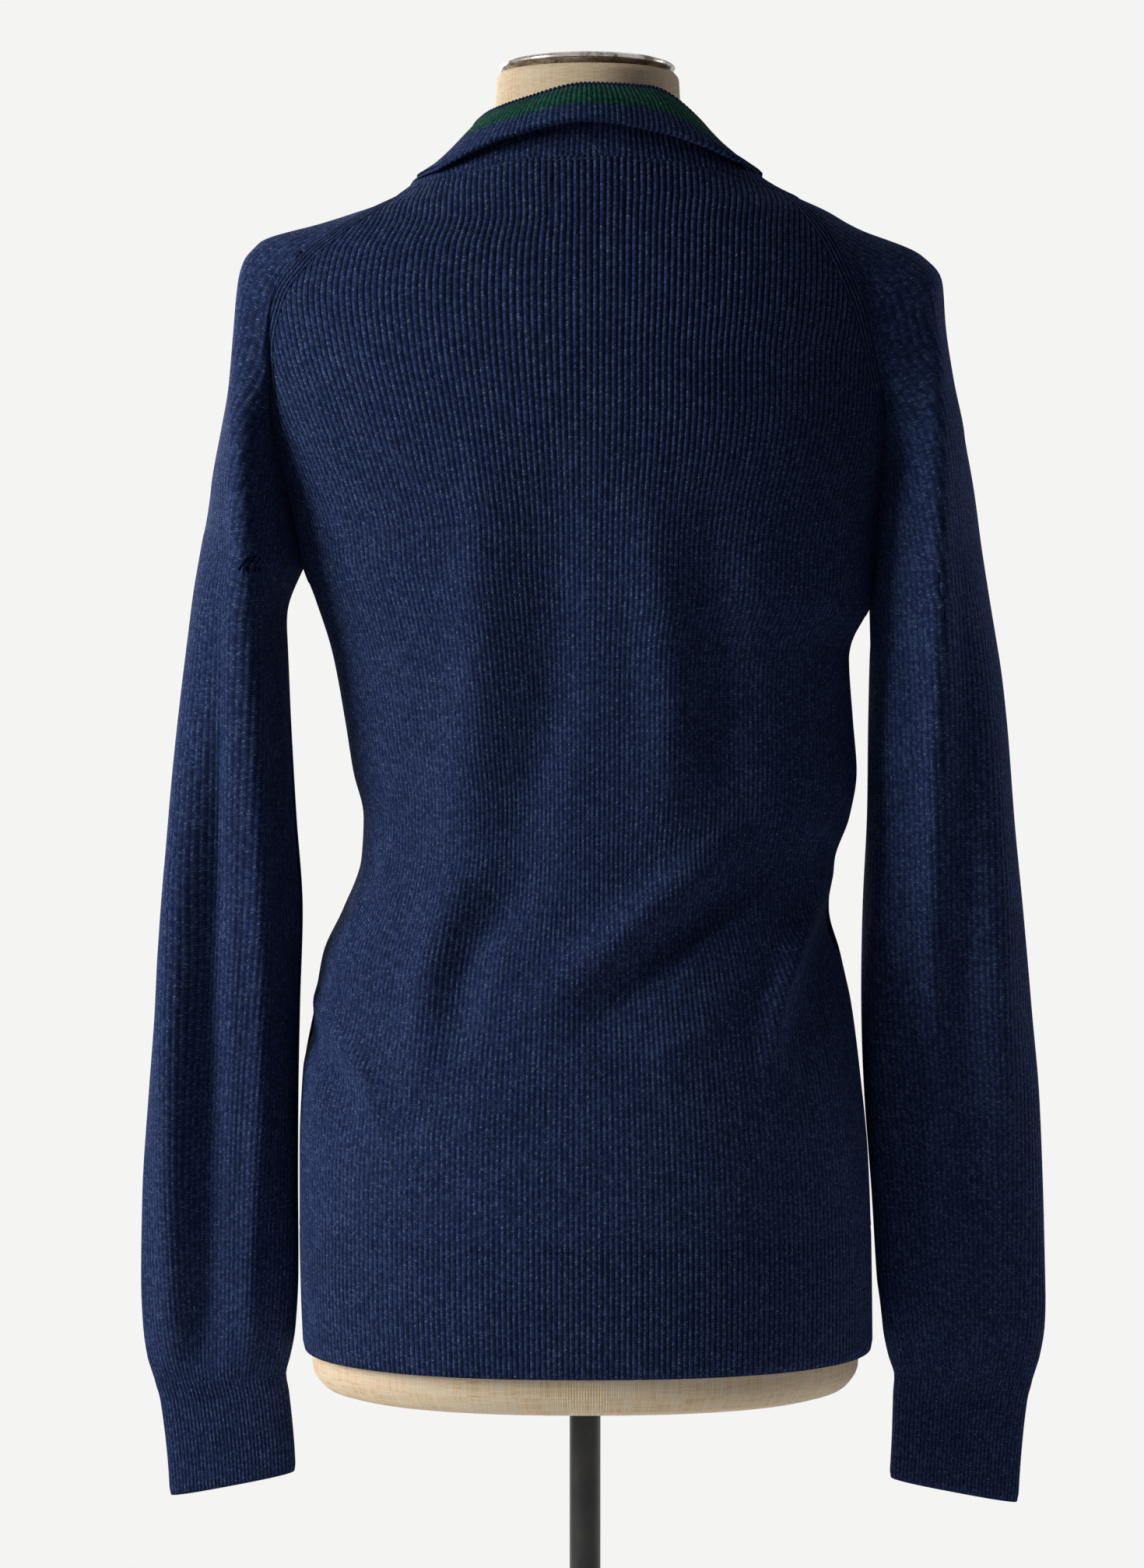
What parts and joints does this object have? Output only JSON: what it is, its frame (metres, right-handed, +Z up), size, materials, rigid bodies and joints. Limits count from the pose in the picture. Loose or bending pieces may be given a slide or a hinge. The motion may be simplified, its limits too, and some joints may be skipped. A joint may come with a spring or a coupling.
{
  "type": "cardigan on dress form",
  "caption": "Long-sleeved rib-knit raglan cardigan with a striped stand collar and buttoned front, on a limbless dress form with a pole and round foot.",
  "frame": {"origin": "centre of the foot's underside, on the floor", "axes": "+Z up; the garment's front faces +Y and its back -Y; the wearer's left is -X"},
  "size_m": [0.5314, 0.38, 1.3479],
  "materials": {
    "navy_knit": "matte rib knit",
    "navy_button": "satin",
    "linen": "matte plain weave",
    "chrome": "worn polish",
    "black_iron": "satin black"
  },
  "bodies": {
    "root": {"back_panel": "navy_knit", "front_left": "navy_knit", "front_right": "navy_knit", "hem_back": "navy_knit", "hem_left": "navy_knit", "hem_right": "navy_knit", "sleeve_left": "navy_knit", "sleeve_right": "navy_knit", "cuff_left": "navy_knit", "cuff_right": "navy_knit", "collar": "navy_knit", "band_left": "navy_knit", "band_right": "navy_knit", "form_torso": "linen", "neck_cap": "chrome", "stand_pole": "black_iron", "stand_foot": "black_iron", "button_1": "navy_button", "button_2": "navy_button", "button_3": "navy_button", "button_4": "navy_button", "button_5": "navy_button", "button_6": "navy_button"}
  },
  "joints": []
}
